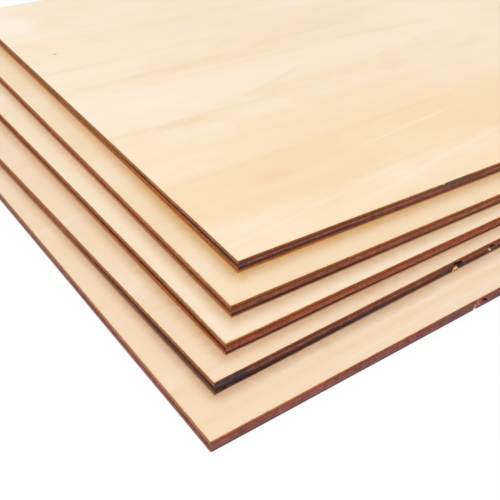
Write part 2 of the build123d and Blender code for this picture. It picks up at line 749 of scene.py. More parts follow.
TOP_FIGURE = Figure(
    warmth=0.02,
    warmer_along=0.34,
    paler_beyond=0.25,
    warmer_near=0.35,
    bands=(
        Band(13.0, 12.0, 37.0, 54.0, 0.6),
        Band(17.0, 19.0, 30.0, 44.0, 0.34),
    ),
    flames=(
        Flame(-10.0, 84.0, 88.0, 69.0, 100.5, 3.4, 1.1, 0.34),
        Flame(-10.0, 100.0, 99.0, 94.0, 101.8, 0.7, 1.5, 0.24),
        Flame(95.0, 150.0, 92.0, 74.0, 98.0, 0.85, 3.0, 0.26),
        Flame(330.0, 205.0, 52.0, 36.0, 74.0, 1.4, 2.4, 0.5),
        Flame(340.0, 232.0, 141.0, 118.0, 160.0, 2.2, 1.3, 0.5),
        Flame(-12.0, 26.0, 176.0, 160.0, 189.0, 1.5, 2.0, 0.4),
    ),
    streaks=(
        Streak((99.0, 76.4), (143.0, 89.2), 1.1, 0.5),
        Streak((101.0, 77.9), (126.0, 84.0), 0.7, 0.3),
        Streak((52.0, 75.8), (83.0, 87.9), 0.9, 0.35),
        Streak((46.0, 72.4), (80.0, 84.6), 2.0, -0.36),
        Streak((-5.0, 68.0), (76.0, 68.8), 1.7, -0.32),
        Streak((-5.0, 69.9), (44.0, 70.1), 0.9, 0.25),
        Streak((-5.0, 122.3), (72.0, 123.5), 2.2, -0.2),
        Streak((-5.0, 105.2), (64.0, 106.3), 2.2, -0.26),
        Streak((70.0, 108.5), (122.0, 112.0), 2.6, -0.3),
        Streak((-5.0, 101.0), (98.0, 98.9), 1.3, 0.35),
        Streak((104.0, 98.4), (150.0, 94.0), 1.8, -0.32),
        Streak((54.0, 27.4), (96.0, 32.4), 1.0, 0.45),
        Streak((38.0, 4.2), (100.0, 15.6), 1.4, 0.35),
        Streak((-5.0, 4.5), (58.0, 13.4), 1.5, 0.3),
        Streak((5.0, 14.0), (122.0, 17.4), 1.6, -0.3),
        Streak((-5.0, 35.2), (118.0, 40.5), 2.0, -0.35),
        Streak((-5.0, 24.0), (48.0, 26.4), 2.2, -0.3),
    ),
    cloudlets=(
        Cloudlet(22.0, 66.4, 8.0, 2.0, WOOD.umber, 0.45),
        Cloudlet(66.0, 66.8, 7.5, 3.4, WOOD.olive, 0.45),
        Cloudlet(29.0, 58.0, 5.5, 5.0, WOOD.cool, 0.3),
        Cloudlet(50.0, 62.0, 11.0, 4.0, WOOD.pale, 0.35),
        Cloudlet(30.0, 105.8, 5.0, 1.6, WOOD.olive, 0.45),
        Cloudlet(108.0, 111.5, 14.0, 3.4, WOOD.olive, 0.4),
        Cloudlet(126.0, 130.0, 16.0, 4.0, WOOD.olive, 0.3),
        Cloudlet(142.0, 68.4, 9.0, 2.4, WOOD.olive, 0.5),
        Cloudlet(106.0, 68.0, 9.0, 4.0, WOOD.umber, 0.22),
        Cloudlet(120.0, 53.5, 15.0, 3.2, WOOD.rose, 0.4),
        Cloudlet(28.0, 26.5, 7.0, 2.6, WOOD.deep_honey, 0.55),
        Cloudlet(9.0, 177.0, 8.0, 13.0, WOOD.cool, 0.8),
        Cloudlet(66.0, 3.2, 7.0, 2.4, WOOD.olive, 0.6),
        Cloudlet(24.0, 171.0, 8.0, 9.0, WOOD.olive, 0.25),
        Cloudlet(62.0, 146.0, 18.0, 9.0, WOOD.rose, 0.3),
        Cloudlet(154.0, 95.0, 20.0, 20.0, WOOD.pale, 0.3),
        Cloudlet(104.0, 124.0, 34.0, 16.0, WOOD.rose, 0.4),
        Cloudlet(112.0, 120.0, 30.0, 12.0, WOOD.umber, 0.12),
        Cloudlet(14.0, 112.0, 18.0, 9.0, WOOD.pale, 0.4),
        Cloudlet(44.0, 132.0, 46.0, 22.0, WOOD.pale, 0.3),
        Cloudlet(74.0, 14.0, 20.0, 10.0, WOOD.pale, 0.3),
    ),
    marks=((11.5, 139.0),),
)

LOOKS = {
    1: SheetLook(
        11.0,
        CutLook(
            haze=0.8,
            rust=0.48,
            short_haze=0.85,
            short_fade=0.3,
            band=(0.0, 0.42),
            short_band=(0.95, 1.3),
            patches=(
                # Painted contact shadow against the floor, in soot's colour, along the foot
                CutPatch(Side.LONG, -5.0, 95.0, -0.2, 0.5, SOOT, 0.4),
                CutPatch(Side.LONG, 30.0, 95.0, 0.3, 2.9, SOOT, 0.1),
                CutPatch(Side.LONG, -5.0, 34.0, 2.45, 3.1, RUDDY_ARRIS, 0.3),
                CutPatch(Side.LONG, -5.0, 34.0, 1.6, 2.45, RED_CHAR, 0.2),
                CutPatch(Side.LONG, 50.0, 56.0, 0.4, 1.8, VIOLET_SMOKE, 0.4),
                CutPatch(Side.LONG, 60.0, 64.0, 0.5, 2.0, GREY_OLIVE, 0.5),
                CutPatch(Side.LONG, 64.0, 67.0, 0.4, 2.3, VIOLET_SMOKE, 0.6),
                CutPatch(Side.LONG, 58.0, 73.0, 2.2, 2.95, OLIVE_CHAR, 0.5),
                CutPatch(Side.LONG, 74.0, 75.6, 1.5, 2.7, RED_CHAR, 0.4),
                CutPatch(Side.LONG, 76.0, 95.0, 0.4, 2.4, VIOLET_SMOKE, 0.5),
                CutPatch(Side.SHORT, -5.0, 58.0, 1.1, 2.0, BROWN_CORE, 0.4),
                CutPatch(Side.SHORT, 58.0, 130.0, 0.5, 2.1, ASHY_CORE, 0.35),
            ),
            marks=(
                CutMark(73.3, 72.9, 0.6, 1.5, 2.6, OCHRE_CHAR, 0.6),
                CutMark(72.9, 72.3, 0.34, -0.1, 1.2, TORN_PINK, 0.75),
                CutMark(73.9, 73.5, 0.34, 0.8, 1.5, TORN_PINK, 0.4),
                CutMark(71.2, 70.6, 0.7, 0.3, 1.5, GREEN_SOOT, 0.6),
                CutMark(75.0, 75.2, 0.9, 1.8, 2.35, RED_CHAR, 0.6),
                # Painted shade in the lower part of the core gap's hole
                CutMark(73.2, 77.7, 0.45, 0.65, 1.55, PAINTED_HOLE_SHADE, 0.85),
            ),
        ),
        Figure(
            0.85,
            rosiness=0.55,
            dimness=0.055,
            streaks=(
                Streak((-8.0, 4.2), (170.0, 6.4), 1.3, -0.4),
                Streak((14.0, 7.0), (230.0, 7.8), 0.9, 0.45),
                Streak((30.0, 2.2), (120.0, 2.8), 0.8, 0.35),
                Streak((-8.0, 14.0), (12.0, 14.6), 2.0, -0.3),
                Streak((-8.0, 48.0), (12.0, 48.4), 2.6, -0.3),
                Streak((-8.0, 83.0), (12.0, 83.5), 1.8, 0.4),
            ),
        ),
        PaintedFootShade(ROSY_FOOT_SHADE, ROSY_FOOT_SHADE, BROWN_SOOT_AND_SHADOW, BROWN_SOOT_AND_SHADOW, 4.3, 3.2, 1.0, 0.6),
    ),
    2: SheetLook(
        23.0,
        CutLook(
            char=0.27,
            haze=0.2,
            short_haze=0.3,
            short_fade=0.7,
            band=(0.14, 0.82),
            short_band=(0.9, 1.22),
            patches=(
                CutPatch(Side.LONG, -3.0, 7.8, 0.1, 2.85, BLUE_SOOT, 0.66),
                CutPatch(Side.LONG, 4.4, 8.0, 0.2, 2.7, BLUE_SOOT, 0.55),
                CutPatch(Side.LONG, 8.0, 14.0, 0.9, 2.5, BLUE_SOOT, 0.25),
                CutPatch(Side.LONG, 0.8, 2.6, 0.9, 2.3, GREEN_SOOT, 0.5),
                CutPatch(Side.LONG, 3.8, 4.9, 1.3, 2.6, GREEN_SOOT, 0.5),
                CutPatch(Side.LONG, -3.0, 42.0, 0.1, 0.95, SOOT, 0.5),
                CutPatch(Side.LONG, 38.0, 47.0, 0.4, 1.2, BLUE_SOOT, 0.3),
                CutPatch(Side.LONG, 65.4, 69.4, 0.4, 1.7, BLUE_SOOT, 0.5),
                CutPatch(Side.LONG, 6.0, 38.0, 0.9, 1.7, SMOKE, 0.2),
                CutPatch(Side.LONG, 6.0, 34.0, 1.85, 2.7, SOOT, 0.3),
                CutPatch(Side.LONG, -2.0, 4.5, -0.1, 0.24, OCHRE_CHAR, 0.6),
                CutPatch(Side.SHORT, -3.0, 28.0, -0.2, 0.35, SOOT, 0.2),
                CutPatch(Side.SHORT, -3.0, 28.0, 0.1, 1.7, SOOT, 0.3),
                CutPatch(Side.SHORT, -3.0, 58.0, 0.1, 1.5, SOOT, 0.22),
                CutPatch(Side.SHORT, -3.0, 34.0, 2.45, 2.9, RUSSET_CHAR, 0.2),
            ),
            marks=(
                # Painted shade in the dark hole of the notch and core gap
                CutMark(68.3, 72.4, 1.05, 0.1, 2.3, PAINTED_HOLE_SHADE, 0.85),
                CutMark(68.6, 69.4, 0.8, 2.4, 2.9, OLIVE_CHAR, 0.7),
                CutMark(69.5, 73.7, 1.0, 1.1, 2.35, BROWN_CORE, 0.85),
                CutMark(73.2, 73.0, 0.5, 0.0, 0.8, OLIVE_CHAR, 0.5),
                CutMark(70.2, 69.3, 0.8, -0.2, 0.75, TORN_WOOD, 0.9),
                CutMark(69.6, 69.1, 0.9, -0.3, 0.25, SINGED_WOOD, 0.8),
                CutMark(83.0, 83.6, 1.4, 0.5, 2.2, OLIVE_CHAR, 0.85),
                CutMark(82.8, 82.1, 0.4, -0.1, 0.85, TORN_PINK, 0.8),
            ),
        ),
        Figure(
            0.72,
            rosiness=0.5,
            dimness=0.06,
            streaks=(
                Streak((-8.0, 3.4), (150.0, 4.6), 1.0, -0.4),
                Streak((24.0, 5.6), (200.0, 5.0), 0.7, 0.45),
                Streak((50.0, 1.7), (170.0, 2.4), 0.8, 0.3),
                Streak((-8.0, 26.0), (12.0, 26.4), 2.2, -0.3),
                Streak((-8.0, 70.0), (12.0, 70.6), 2.0, 0.35),
                Streak((-8.0, 104.0), (12.0, 104.4), 2.6, -0.3),
            ),
        ),
        PaintedFootShade(ROSY_FOOT_SHADE, AMBER_FOOT_SHADE, RUSSET_SOOT_AND_SHADOW, GOLDEN_SOOT_AND_SHADOW, 4.3, 4.1, 0.9, 0.8, soot_and_shadow_fade=0.65),
    ),
    3: SheetLook(
        37.0,
        CutLook(
            rust=0.38,
            corner_dip=0.3,
            band=(0.16, 0.58),
            short_band=(0.88, 1.3),
            patches=(
                CutPatch(Side.LONG, -5.0, 40.0, -0.2, 0.65, RUSSET_CHAR, 0.75),
                CutPatch(Side.LONG, 40.0, 130.0, -0.2, 0.7, RUDDY_CHAR, 0.55),
                CutPatch(Side.LONG, -5.0, 8.0, -0.2, 0.3, OCHRE_CHAR, 0.4),
                CutPatch(Side.SHORT, 26.0, 100.0, 2.5, 3.1, SOOT, 0.14),
                CutPatch(Side.SHORT, 2.0, 34.0, 0.8, 1.6, SOOT, 0.16),
                CutPatch(Side.SHORT, -5.0, 60.0, 2.75, 3.2, PALE_RIM, 0.45),
                CutPatch(Side.SHORT, 45.0, 230.0, -0.2, 0.35, PALE_FOOT, 0.3),
                CutPatch(Side.LONG, -5.0, 26.0, 3.1, 3.7, WOOD.pale, 0.85),
                CutPatch(Side.SHORT, -5.0, 26.0, 3.1, 3.7, WOOD.pale, 0.7),
            ),
        ),
        Figure(0.34, dimness=0.03),
        PaintedFootShade(TAN_FOOT_SHADE, SAND_FOOT_SHADE, RUSSET_SOOT_AND_SHADOW, GOLDEN_SOOT_AND_SHADOW, 5.1, 3.9, 0.8, 0.25),
    ),
    4: SheetLook(
        41.0,
        CutLook(
            char=0.02,
            rust=0.14,
            band=(0.26, 0.7),
            short_band=(0.88, 1.24),
            patches=(
                CutPatch(Side.LONG, -5.0, 32.0, 0.7, 2.2, SOOT, 0.16),
                CutPatch(Side.LONG, 40.0, 120.0, -0.2, 0.8, OCHRE_CHAR, 0.2),
                CutPatch(Side.LONG, -5.0, 8.0, -0.2, 0.26, OCHRE_CHAR, 0.5),
                CutPatch(Side.SHORT, -5.0, 150.0, 0.4, 2.1, GOLDEN_CHAR, 0.17),
                CutPatch(Side.SHORT, -5.0, 60.0, 2.75, 3.2, PALE_RIM, 0.45),
                CutPatch(Side.SHORT, 45.0, 230.0, -0.2, 0.4, PALE_FOOT, 0.6),
            ),
        ),
        Figure(0.72, dimness=0.03),
        PaintedFootShade(GOLDEN_FOOT_SHADE, GOLDEN_FOOT_SHADE, GOLDEN_SOOT_AND_SHADOW, GOLDEN_SOOT_AND_SHADOW, 5.5, 4.9, 0.75, 0.5),
    ),
    5: SheetLook(
        59.0,
        CutLook(
            char=0.12,
            haze=0.4,
            short_fade=0.75,
            band=(0.56, 0.94),
            short_band=(1.05, 1.75),
            patches=(
                # Painted bounce light from the sheet below along the foot
                CutPatch(Side.LONG, -5.0, 28.0, -0.2, 0.34, PAINTED_FOOT_BOUNCE, 0.8),
                CutPatch(Side.LONG, 24.0, 90.0, -0.2, 0.3, PAINTED_FOOT_BOUNCE, 0.4),
                CutPatch(Side.LONG, -5.0, 34.0, 0.4, 1.2, SOOT, 0.3),
                CutPatch(Side.LONG, -5.0, 34.0, 1.9, 2.9, SOOT, 0.25),
                CutPatch(Side.LONG, 58.0, 78.0, 0.8, 2.4, GREY_SMOKE, 0.5),
                CutPatch(Side.LONG, 34.0, 130.0, 0.78, 1.3, BROWN_CORE, 0.35),
                CutPatch(Side.LONG, 30.0, 61.0, 2.2, 2.8, OLIVE_CHAR, 0.25),
                CutPatch(Side.LONG, 42.0, 61.0, 2.7, 3.2, PALE_RIM, 0.3),
                CutPatch(Side.SHORT, -5.0, 26.0, 2.4, 3.1, SOOT, 0.3),
                CutPatch(Side.SHORT, 26.0, 62.0, 2.5, 3.1, SOOT, 0.16),
                CutPatch(Side.LONG, 61.8, 71.5, 1.9, 3.0, GREY_OLIVE, 0.8),
                CutPatch(Side.LONG, -3.0, 3.5, 1.0, 2.6, BLUE_SOOT, 0.5),
                CutPatch(Side.SHORT, -3.0, 24.0, 1.0, 2.1, BLUE_SOOT, 0.4),
                # Painted bounce light from the sheet below along the foot
                CutPatch(Side.SHORT, -3.0, 62.0, -0.2, 0.5, PAINTED_FOOT_BOUNCE, 0.45),
                CutPatch(Side.SHORT, 55.0, 230.0, -0.2, 0.3, PALE_FOOT, 0.3),
            ),
            marks=(CutMark(61.7, 61.5, 0.6, 2.65, 3.1, WOOD.pale, 0.8),),
        ),
        TOP_FIGURE,
        PaintedFootShade(TAN_FOOT_SHADE, TAN_FOOT_SHADE, BROWN_SOOT_AND_SHADOW, BROWN_SOOT_AND_SHADOW, 4.0, 3.5, 0.8, 0.3),
    ),
}


@dataclass(frozen=True)
class CutGrain:
    """How uneven every burnt edge is. Lengths are in millimetres, and a span is where a change starts and
    ends.
    """

    wander: Waves = Waves(6.0, 6.0, detail=3.0, roughness=0.6)
    lines: Waves = Waves(0.6, 0.6, 5.0, detail=3.0, roughness=0.7)
    clumps: Waves = Waves(2.0, 2.0, 0.7, detail=4.0, roughness=0.75)
    burns: Waves = Waves(15.0, 15.0, 1.2, roughness=0.6)
    hue: Waves = Waves(1.4, 1.4, 0.5, detail=3.0, roughness=0.7)
    torn_fibre: Waves = Waves(1.6, 0.3, 0.12, roughness=0.6)
    wander_height: float = 0.09
    dip_span: tuple[float, float] = (34.0, 4.0)
    short_char: float = 0.4
    short_rust: float = 0.3
    short_fade_span: tuple[float, float] = (45.0, 75.0)
    corner_softness: float = 0.15
    hue_span: tuple[float, float] = (0.02, 0.4)
    hue_strength: float = 0.46
    plain_brightness: float = 0.98
    brightest: float = 2.0
    line_contrast: float = 0.5
    clump_contrast: float = 0.85
    burn_contrast: float = 0.4
    line_relief: float = 0.03
    clump_relief: float = 0.04
    roughness: float = 0.62
    clump_roughness: float = 0.12
    gap_span: tuple[float, float] = (0.42, 0.6)
    notch_span: tuple[float, float] = (0.12, 0.3)
    notch_foot_span: tuple[float, float] = (0.01, 0.06)
    notch_head_span: tuple[float, float] = (0.84, 0.76)
    near_side_span: tuple[float, float] = (30.0, 20.0)
    mark_fray: float = 0.4
    mark_softness: float = 0.15
    patch_line_fray: float = 1.2
    patch_clump_fray: float = 2.0
    patch_softness: float = 0.1
    patch_end_share: float = 0.2
    patch_end_limit: float = 6.0


@dataclass(frozen=True)
class VeneerGrain:
    """The figure that every veneer has. Lengths are in millimetres, and a span is where a change starts
    and ends.
    """

    sway: Waves = Waves(95.0, 60.0)
    drift: Waves = Waves(210.0, 26.0, seed=3.0)
    rings: Waves = Waves(120.0, 5.5, detail=3.0, roughness=0.55, seed=5.0)
    hairs: Waves = Waves(42.0, 1.3, roughness=0.6, seed=8.0)
    fibres: Waves = Waves(9.0, 0.26, roughness=0.6, seed=13.0)
    flecks: Waves = Waves(2.6, 0.2, detail=1.0, seed=17.0)
    mottle: Waves = Waves(12.0, 6.0, detail=4.0, roughness=0.65, seed=19.0)
    cast: Waves = Waves(42.0, 26.0, detail=3.0, roughness=0.6, seed=23.0)
    rim: Waves = Waves(1.1, 1.1, detail=3.0, roughness=0.6)
    tremble: Waves = Waves(13.0, 5.0, detail=4.0, roughness=0.65, seed=31.0)
    pin: Waves = Waves(0.5, 0.5, roughness=0.6, seed=3.0)
    fray: Waves = Waves(2.2, 2.2, detail=3.0, roughness=0.6, seed=5.0)
    blotches: Waves = Waves(7.0, 4.0, detail=3.0, roughness=0.6, seed=9.0)
    back_seed: float = 7.0
    sway_width: float = 2.6
    fleck_span: tuple[float, float] = (0.35, 0.7)
    warmer_along_span: tuple[float, float] = (-40.0, 60.0)
    paler_beyond_span: tuple[float, float] = (80.0, 140.0)
    warmer_near_span: tuple[float, float] = (190.0, 20.0)
    drift_warmth: float = 0.25
    ring_warmth: float = 0.22
    mottle_warmth: float = 0.25
    hair_contrast: float = 0.014
    fibre_contrast: float = 0.02
    mottle_contrast: float = 0.012
    fleck_contrast: float = 0.03
    hair_relief: float = 0.006
    fibre_relief: float = 0.006
    fleck_relief: float = 0.01
    roughness: float = 0.4
    hair_roughness: float = 0.06
    mottle_roughness: float = 0.05
    halo_fray: float = 0.3
    halo_span: tuple[float, float] = (0.9, 0.15)
    halo_strength: float = 0.1


CUT_GRAIN = CutGrain()
VENEER_GRAIN = VeneerGrain()


@dataclass
class PlyFinish:
    """The procedural finish of one ply: pale veneer on its faces and burnt wood on its cut edge."""

    kind: PlyKind
    number: int
    look: SheetLook
    lay: Lay
    lay_above: Optional[Lay]
    specular: float = 0.25
    face_burn_span: tuple[float, float] = (0.0, 0.12)
    back_burn_span: tuple[float, float] = (0.01, 0.06)
    edge_burn_span: tuple[float, float] = (0.17, 0.12)

    def material(self) -> bpy.types.Material:
        """Build the ply's material.

        Returns:
            The material.
        """
        made, self.graph = new_material(f"sheet_{self.number}_{self.kind.value}_wood")
        g = self.graph
        self.x, self.y, self.z = self.sheet_place(self.lay)
        self.from_long = g.smaller(self.y, SIZE.width - self.y)
        self.from_short = g.smaller(self.x, SIZE.length - self.x)
        self.from_edge = g.smaller(self.from_long, self.from_short)
        self.from_face = g.smaller(self.z, SIZE.thickness - self.z)
        colour, relief, roughness = self.cut_surface()
        if self.kind is not PlyKind.CORE:
            face, face_relief, face_roughness = self.veneer_surface()
            burnt = self.burnt_share()
            colour = g.mix(burnt, face, colour)
            relief = face_relief + burnt * (relief - face_relief)
            roughness = face_roughness + burnt * (roughness - face_roughness)
        g.surface(colour, roughness, relief, self.specular)
        return made

    def waves(self, pattern: Waves, seed: float = 0.0, across: Optional[Value] = None) -> Value:
        """Lay a pattern of noise over the ply.

        Args:
            pattern: The pattern.
            seed: What tells it from the same pattern elsewhere.
            across: The place across the sheet, where that isn't the shaded point's own.

        Returns:
            The noise, from -1 to 1.
        """
        g = self.graph
        y = self.y if across is None else across
        level = seed + pattern.seed
        if pattern.up is not None:
            level = self.z / pattern.up + level
        place = g.vector(self.x / pattern.along, y / pattern.across, level)
        return g.cloud(place, pattern.detail, pattern.roughness)

    def burnt_share(self) -> Value:
        """Mask the burnt edge, which turns pale at the sheet's upper arris.

        Returns:
            The mask.
        """
        g = self.graph
        if self.kind is PlyKind.FACE:
            return g.ease(self.from_face, *self.face_burn_span)
        off_face = g.ease(self.from_face, *self.back_burn_span)
        return g.larger(off_face, g.ease(self.from_edge, *self.edge_burn_span))

    def sheet_place(self, lay: Lay) -> tuple[Value, Value, Value]:
        """Find the shaded point in a sheet's own millimetres.

        Args:
            lay: Where the sheet lies.

        Returns:
            How far the point lies along the sheet, across it and above its underside.
        """
        g = self.graph
        coordinates = g.output(g.node("ShaderNodeTexCoord"), "Object")
        mapping = g.node(
            "ShaderNodeMapping",
            {"vector_type": "TEXTURE"},
            {
                "Vector": coordinates,
                "Location": (lay.corner_x * MM, lay.corner_y * MM, lay.base * MM),
                "Rotation": (0.0, 0.0, math.radians(lay.turn)),
                "Scale": (MM, MM, MM),
            },
        )
        split = g.node("ShaderNodeSeparateXYZ", None, {"Vector": g.output(mapping)})
        return g.output(split, 0), g.output(split, 1), g.output(split, 2)

    def cut_surface(self) -> tuple[Value, Value, Value]:
        """The burnt edge.

        Returns:
            Its colour, its relief in millimetres and its roughness.
        """
        g, look, grain, seed = self.graph, self.look.cut, CUT_GRAIN, self.look.seed
        dip = g.ease(self.x + self.y, *grain.dip_span) * look.corner_dip
        height = self.z + self.waves(grain.wander, seed) * grain.wander_height + dip
        share = height / SIZE.thickness
        long_tones = LONG_CUT.changed(look.char, look.haze, look.rust)
        long_tone = g.ramp(share, long_tones.stops(*look.band))
        short_char, short_rust = look.char * grain.short_char, look.rust * grain.short_rust
        short_tones = SHORT_CUT.changed(short_char, look.short_haze, short_rust)
        short_tone = g.ramp(share, short_tones.stops(*look.short_band))
        faded = g.ease(self.y, *grain.short_fade_span) * look.short_fade
        short_tone = g.mix(faded, short_tone, FADED_CHAR)
        on_short = g.ease(self.from_long - self.from_short, -grain.corner_softness, grain.corner_softness)
        tone = g.mix(on_short, long_tone, short_tone)
        lines = self.waves(grain.lines, seed)
        clumps = self.waves(grain.clumps, seed)
        burns = self.waves(grain.burns, -seed)
        hue = self.waves(grain.hue, -seed)
        hue_start, hue_end = grain.hue_span
        tone = g.mix(g.ease(hue, hue_start, hue_end) * grain.hue_strength, tone, RED_CHAR)
        tone = g.mix(g.ease(hue, -hue_start, -hue_end) * grain.hue_strength, tone, OLIVE_CHAR)
        for patch in look.patches:
            tone = g.mix(self.patch_mask(patch, height, lines, clumps, on_short), tone, patch.tone)
        uneven = lines * grain.line_contrast + clumps * grain.clump_contrast + burns * grain.burn_contrast
        brightness = grain.plain_brightness + uneven
        tone = g.dim(tone, g.clip(brightness / grain.brightest) * grain.brightest)
        # Painted shade in the core's gaps, and bared wood in the notches
        if self.kind is not PlyKind.FACE:
            tone = self.show_hollows(tone)
        for mark in look.marks:
            tone = g.mix(self.mark_mask(mark, clumps, on_short), tone, mark.tone)
        relief = lines * grain.line_relief + clumps * grain.clump_relief
        return tone, relief, grain.roughness + clumps * grain.clump_roughness

    def show_hollows(self, tone: Value) -> Value:
        """Darken the core's gaps with painted shade and bare the pale wood in the back veneer's notches.

        Args:
            tone: The burnt edge so far.

        Returns:
            The edge with its hollows.
        """
        g, grain = self.graph, CUT_GRAIN
        fibre = self.waves(grain.torn_fibre)
        # Painted shade: the core's gaps are dimmed to about a third, on top of their own self-shadow
        if self.kind is PlyKind.CORE:
            return g.mix(g.ease(self.from_edge, *grain.gap_span), tone, g.dim(tone, 0.35 + fibre * 0.12))
        torn = g.ease(self.from_edge, *grain.notch_span)
        torn = torn * g.ease(self.z, *grain.notch_foot_span) * g.ease(self.z, *grain.notch_head_span)
        return g.mix(torn, tone, g.dim(TORN_WOOD, 1.0 + fibre * 0.2))

    def mark_mask(self, mark: CutMark, clumps: Value, on_short: Value) -> Value:
        """A mask of one leaning mark on the long near edge.

        Args:
            mark: The mark.
            clumps: Blotches, which fray it.
            on_short: The mask of the short sides.

        Returns:
            The mask.
        """
        g, grain = self.graph, CUT_GRAIN
        rise = self.z / SIZE.thickness
        middle = mark.foot + rise * (mark.head - mark.foot)
        off = g.maths("ABSOLUTE", self.x - middle + clumps * grain.mark_fray)
        line = g.ease(off, mark.half_width, 0.5 * mark.half_width)
        tall = g.within(self.z, mark.low, mark.high, grain.mark_softness)
        near = g.ease(self.y, *grain.near_side_span)
        return line * tall * (1.0 - on_short) * near * mark.strength

    def patch_mask(
        self, patch: CutPatch, height: Value, lines: Value, clumps: Value, on_short: Value
    ) -> Value:
        """A ragged mask of one stretch of the edge, burnt differently or painted with shade or bounce light.

        Args:
            patch: The stretch.
            height: The height above the underside, wandering a little.
            lines: Fine upright lines, which fray its ends.
            clumps: Coarser blotches, which fray its ends too.
            on_short: The mask of the short sides.

        Returns:
            The mask.
        """
        g, grain = self.graph, CUT_GRAIN
        if patch.side is Side.SHORT:
            side, along, inwards = on_short, self.y, self.x
        else:
            side, along, inwards = 1.0 - on_short, self.x, self.y
        along = along + lines * grain.patch_line_fray + clumps * grain.patch_clump_fray
        soft = min(grain.patch_end_share * (patch.end - patch.start), grain.patch_end_limit)
        run = g.within(along, patch.start, patch.end, soft)
        tall = g.within(height, patch.low, patch.high, grain.patch_softness)
        return run * tall * side * g.ease(inwards, *grain.near_side_span) * patch.strength

    def veneer_surface(self) -> tuple[Value, Value, Value]:
        """The pale face of a veneer.

        Returns:
            Its colour, its relief in millimetres and its roughness.
        """
        g, figure, grain = self.graph, self.look.figure, VENEER_GRAIN
        seed = self.look.seed + (0.0 if self.kind is PlyKind.FACE else grain.back_seed)
        x = self.x
        y = self.y + self.waves(grain.sway, seed) * grain.sway_width
        drift = self.waves(grain.drift, seed, y)
        rings = self.waves(grain.rings, seed, y)
        hairs = self.waves(grain.hairs, seed, y)
        fibres = self.waves(grain.fibres, seed, y)
        flecks = g.ease(self.waves(grain.flecks, seed, y), *grain.fleck_span)
        mottle = self.waves(grain.mottle, seed, y)
        cast = self.waves(grain.cast, seed, y)
        # Broad trends, partly painted sheen: the face is paler towards its far corner at small x and large y
        warmer = g.ease(x, *grain.warmer_along_span) * figure.warmer_along
        paler = g.ease(x, *grain.paler_beyond_span) * figure.paler_beyond
        trend = warmer - paler + g.ease(y, *grain.warmer_near_span) * figure.warmer_near
        warmth = figure.warmth + trend + drift * grain.drift_warmth + rings * grain.ring_warmth
        warmth = g.clip(warmth + mottle * grain.mottle_warmth)
        colour = g.mix(warmth, WOOD.pale, WOOD.honey)
        colour = g.mix(figure.rosiness, colour, WOOD.rose)
        colour = g.mix(g.ease(cast, 0.0, 0.5) * 0.6, colour, WOOD.rose)
        colour = g.mix(g.ease(cast, 0.0, -0.5) * 0.4, colour, WOOD.cool)
        colour = g.mix(g.ease(mottle, 0.1, 0.6) * 0.4, colour, WOOD.olive)
        if self.kind is PlyKind.FACE:
            colour = self.add_figure(colour, figure, rings, mottle)
        brightness = (1.0 - figure.dimness) + hairs * grain.hair_contrast + fibres * grain.fibre_contrast
        brightness = brightness + mottle * grain.mottle_contrast - flecks * grain.fleck_contrast
        colour = self.add_marks(g.dim(colour, brightness), figure)
        halo = g.ease(self.from_edge + self.waves(grain.rim, seed) * grain.halo_fray, *grain.halo_span)
        colour = g.mix(halo * halo * grain.halo_strength, colour, WOOD.scorch)
        # Painted warm contact shade and shadow line along the foot of the sheet above
        if self.kind is PlyKind.FACE and self.lay_above is not None:
            colour = self.add_foot_shade(colour)
        relief = fibres * grain.fibre_relief + hairs * grain.hair_relief - flecks * grain.fleck_relief
        roughness = grain.roughness + hairs * grain.hair_roughness + mottle * grain.mottle_roughness
        return colour, relief, roughness

    def add_figure(self, colour: Value, figure: Figure, rings: Value, mottle: Value) -> Value:
        """Draw the named bands, flames, streaks and cloudlets.

        Args:
            colour: The veneer so far.
            figure: The features.
            rings: The long growth lines, which the features follow.
            mottle: The small blotches, which break the features up.

        Returns:
            The veneer with the features on it.
        """
        g, x = self.graph, self.x
        tremble = self.waves(VENEER_GRAIN.tremble)
        y = self.y + tremble * 1.5 + rings * 0.6
        broken = g.clip(0.75 + mottle * 1.1 + tremble * 0.5)
        for band in figure.bands:
            share = x / SIZE.length
            low = band.low_start + share * (band.low_end - band.low_start)
            high = band.high_start + share * (band.high_end - band.high_start)
            wavy = y + rings * 2.0
            inside = g.ease(wavy - low, -3.5, 4.0) * g.ease(high - wavy, -3.0, 5.0)
            colour = g.mix(inside * g.clip(0.9 + rings * 0.6) * band.strength, colour, WOOD.honey)
        for flame in figure.flames:
            run = g.clip((x - flame.root) / (flame.tip - flame.root))
            low = flame.low + run ** flame.low_curve * (flame.tip_across - flame.low)
            high = flame.high + run ** flame.high_curve * (flame.tip_across - flame.high)
            inside = g.ease(g.smaller(y - low, high - y), -0.8, 2.4) * g.clip(0.85 + mottle * 0.9)
            colour = g.mix(inside * flame.strength * (1.0 - run * 0.35), colour, WOOD.cool)
        for spot in figure.cloudlets:
            off_x = (x - spot.along + tremble * 6.0) / spot.half_length
            off_y = (y - spot.across) / spot.half_width
            reach = off_x * off_x + off_y * off_y + mottle * 1.6
            colour = g.mix(g.ease(reach, 1.7, -0.2) * spot.strength, colour, spot.tone)
        for streak in figure.streaks:
            (x0, y0), (x1, y1) = streak.start, streak.end
            middle = y0 + (x - x0) * ((y1 - y0) / (x1 - x0))
            ends = g.ease(x, x0 - 2.0, x0 + 9.0) * g.ease(x, x1 + 2.0, x1 - 9.0)
            line = g.ridge(y - middle, streak.half_width) * ends * broken * abs(streak.strength)
            tone = WOOD.streak_pale if streak.strength > 0 else WOOD.streak_dark
            colour = g.mix(line, colour, tone)
        return colour

